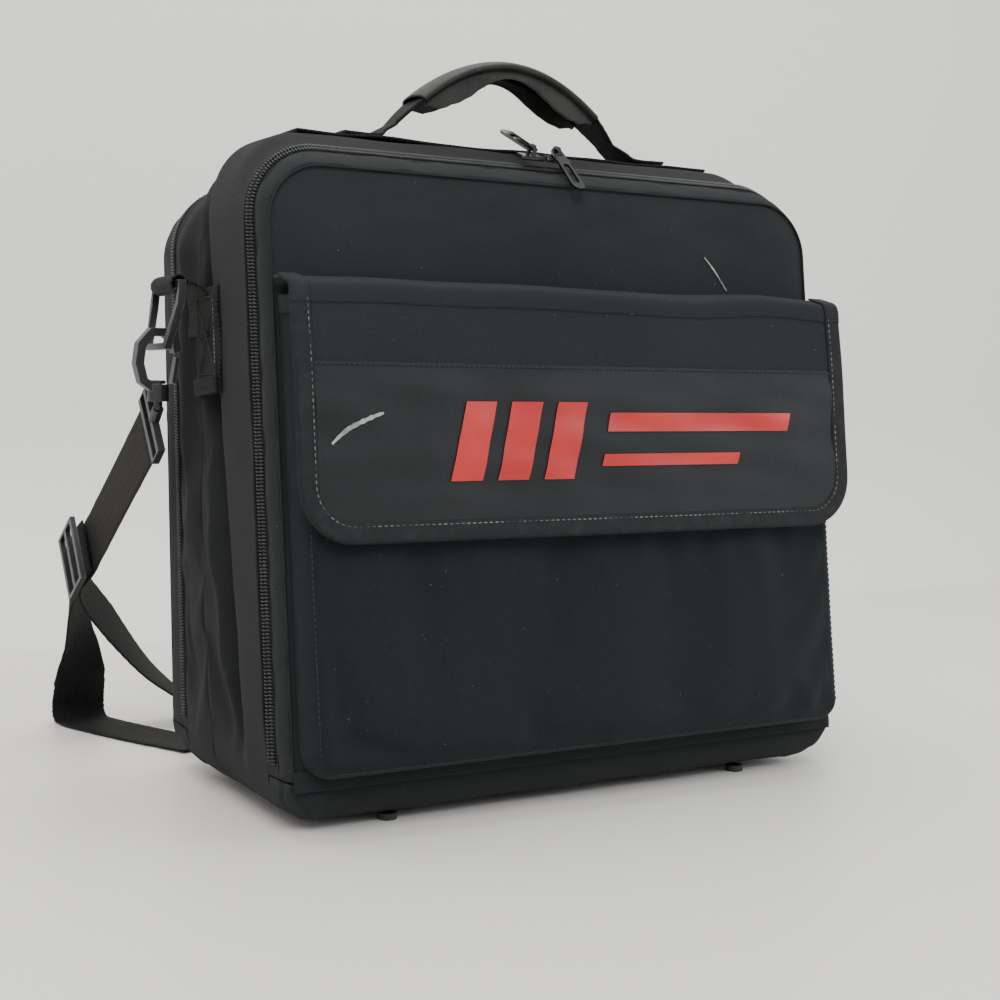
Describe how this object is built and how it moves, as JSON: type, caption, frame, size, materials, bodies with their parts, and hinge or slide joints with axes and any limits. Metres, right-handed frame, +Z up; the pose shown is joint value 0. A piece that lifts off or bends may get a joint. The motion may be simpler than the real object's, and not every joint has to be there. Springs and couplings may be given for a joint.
{
  "type": "soft instrument carrying case",
  "caption": "Soft-sided carrying case for a hand-held automotive tester, with zipped front lid, flap pocket, rear compartment, top handle and clip-on shoulder strap.",
  "frame": {"origin": "centre of the bottom panel's flat face, 4 mm above the ground that the feet stand on", "axes": "+Z up, -Y the front with the pocket and flap, +X the right side seen from the front"},
  "size_m": [0.4692, 0.3894, 0.4503],
  "materials": {
    "canvas": "matte coated twill, slightly dusty",
    "band_cloth": "worn matte cloth, lighter on its folds",
    "satin_nylon": "smooth satin nylon with soft ripples",
    "binding_tape": "folded tape with worn stitching",
    "webbing": "woven polypropylene webbing",
    "foam": "closed-cell foam",
    "lining": "plain nylon lining",
    "board": "stiffener board",
    "zipper_coil": "nylon coil on woven tape",
    "slider_metal": "glossy black enamel",
    "plastic": "moulded nylon, edges scuffed light",
    "grip_vinyl": "grained vinyl, worn and frayed at its edges",
    "hook_tape": "hook and loop tape",
    "foot_rubber": "smooth glide"
  },
  "bodies": {
    "case": {"main_gusset": "band_cloth", "gusset_foam": "foam", "gusset_lining": "lining", "bottom_board": "board", "divider_panel": "lining", "rear_gusset": "canvas", "rear_lining": "lining", "front_sill": "canvas", "rear_sill": "canvas", "foot_front_left": "foot_rubber", "foot_front_right": "foot_rubber", "foot_rear_left": "foot_rubber", "foot_rear_right": "foot_rubber", "main_zipper_case_half": "zipper_coil", "rear_zipper_case_half": "zipper_coil", "handle_base_webbing": "webbing", "side_patch_left": "webbing", "side_patch_right": "webbing", "ring_keeper_left": "webbing", "ring_keeper_right": "webbing", "strap_eye_left": "plastic", "strap_eye_right": "plastic", "shoulder_strap": "webbing", "strap_tail": "webbing"},
    "front_lid": {"front_panel": "canvas", "front_panel_foam": "foam", "front_panel_lining": "lining", "front_band": "canvas", "main_zipper_lid_half": "zipper_coil", "pocket_pouch": "canvas", "pocket_loop_strip": "hook_tape", "flap_hinge_strip": "canvas"},
    "pocket_flap": {"flap_shell": "canvas", "flap_print_panel": "satin_nylon", "flap_binding": "binding_tape", "flap_hook_strip": "hook_tape"},
    "rear_lid": {"rear_panel": "canvas", "rear_panel_foam": "foam", "rear_panel_lining": "lining", "rear_band": "canvas", "rear_zipper_lid_half": "zipper_coil"},
    "handle": {"handle_webbing": "webbing", "handle_grip": "grip_vinyl"},
    "tri_glide": {"tri_glide": "plastic"},
    "main_slider_left": {"main_slider_left": "slider_metal"},
    "main_pull_left": {"main_pull_left": "slider_metal"},
    "main_slider_right": {"main_slider_right": "slider_metal"},
    "main_pull_right": {"main_pull_right": "slider_metal"},
    "rear_slider_left": {"rear_slider_left": "slider_metal"},
    "rear_pull_left": {"rear_pull_left": "slider_metal"},
    "rear_slider_right": {"rear_slider_right": "slider_metal"},
    "rear_pull_right": {"rear_pull_right": "slider_metal"},
    "ring_left": {"ring_left": "plastic"},
    "snap_hook_left": {"snap_hook_left": "plastic"},
    "hook_gate_left": {"hook_gate_left": "plastic"},
    "ring_right": {"ring_right": "plastic"},
    "snap_hook_right": {"snap_hook_right": "plastic"},
    "hook_gate_right": {"hook_gate_right": "plastic"}
  },
  "joints": [
    {"name": "front_lid_hinge", "type": "hinge", "parent": "case", "child": "front_lid", "pos_m": [0, -0.09655, 0.026], "axis": [1, 0, 0], "range_deg": [0, 92]},
    {"name": "flap_hinge", "type": "hinge", "parent": "front_lid", "child": "pocket_flap", "pos_m": [0, -0.09269, 0.29], "axis": [-1, 0, 0], "range_deg": [0, 160]},
    {"name": "rear_lid_hinge", "type": "hinge", "parent": "case", "child": "rear_lid", "pos_m": [0, 0.1015, 0.026], "axis": [-1, 0, 0], "range_deg": [0, 50]},
    {"name": "handle_fold", "type": "hinge", "parent": "case", "child": "handle", "pos_m": [0, 0.01131, 0.3995], "axis": [1, 0, 0], "range_deg": [-70, 25]},
    {"name": "tri_glide_slide", "type": "slide", "parent": "case", "child": "tri_glide", "axis": [0, 0.8162, -0.5777], "range_m": [-0.05, 0]},
    {"name": "main_slider_left_slide", "type": "slide", "parent": "case", "child": "main_slider_left", "axis": [-1, 0, 0], "range_m": [0, 0.13]},
    {"name": "main_pull_left_hinge", "type": "hinge", "parent": "main_slider_left", "child": "main_pull_left", "pos_m": [-0.00885, -0.04046, 0.38494], "axis": [1, 0, 0], "range_deg": [0, 150]},
    {"name": "main_slider_right_slide", "type": "slide", "parent": "case", "child": "main_slider_right", "axis": [1, 0, 0], "range_m": [0, 0.13]},
    {"name": "main_pull_right_hinge", "type": "hinge", "parent": "main_slider_right", "child": "main_pull_right", "pos_m": [0.00885, -0.04046, 0.38494], "axis": [1, 0, 0], "range_deg": [-150, 0]},
    {"name": "rear_slider_left_slide", "type": "slide", "parent": "case", "child": "rear_slider_left", "axis": [-1, 0, 0], "range_m": [0, 0.13]},
    {"name": "rear_pull_left_hinge", "type": "hinge", "parent": "rear_slider_left", "child": "rear_pull_left", "pos_m": [-0.00885, 0.08857, 0.3717], "axis": [1, 0, 0], "range_deg": [0, 150]},
    {"name": "rear_slider_right_slide", "type": "slide", "parent": "case", "child": "rear_slider_right", "axis": [1, 0, 0], "range_m": [0, 0.13]},
    {"name": "rear_pull_right_hinge", "type": "hinge", "parent": "rear_slider_right", "child": "rear_pull_right", "pos_m": [0.00885, 0.08857, 0.3717], "axis": [1, 0, 0], "range_deg": [0, 150]},
    {"name": "ring_left_swing", "type": "hinge", "parent": "case", "child": "ring_left", "pos_m": [-0.213, 0.031, 0.298], "axis": [0, 1, 0], "range_deg": [-2, 3]},
    {"name": "hook_left_swivel", "type": "hinge", "parent": "case", "child": "snap_hook_left", "pos_m": [-0.22, 0.031, 0.23], "axis": [0, 0, 1], "range_deg": [-10, 10]},
    {"name": "hook_gate_left_hinge", "type": "hinge", "parent": "snap_hook_left", "child": "hook_gate_left", "pos_m": [-0.2115, 0.031, 0.2405], "axis": [0, -1, 0], "range_deg": [0, 20], "stiffness_Nm_per_rad": 0.08, "springref_deg": -2.86},
    {"name": "ring_right_swing", "type": "hinge", "parent": "case", "child": "ring_right", "pos_m": [0.213, 0.031, 0.298], "axis": [0, -1, 0], "range_deg": [-2, 3]},
    {"name": "hook_right_swivel", "type": "hinge", "parent": "case", "child": "snap_hook_right", "pos_m": [0.22, 0.031, 0.23], "axis": [0, 0, 1], "range_deg": [-10, 10]},
    {"name": "hook_gate_right_hinge", "type": "hinge", "parent": "snap_hook_right", "child": "hook_gate_right", "pos_m": [0.2115, 0.031, 0.2405], "axis": [0, 1, 0], "range_deg": [0, 20], "stiffness_Nm_per_rad": 0.08, "springref_deg": -2.86}
  ]
}
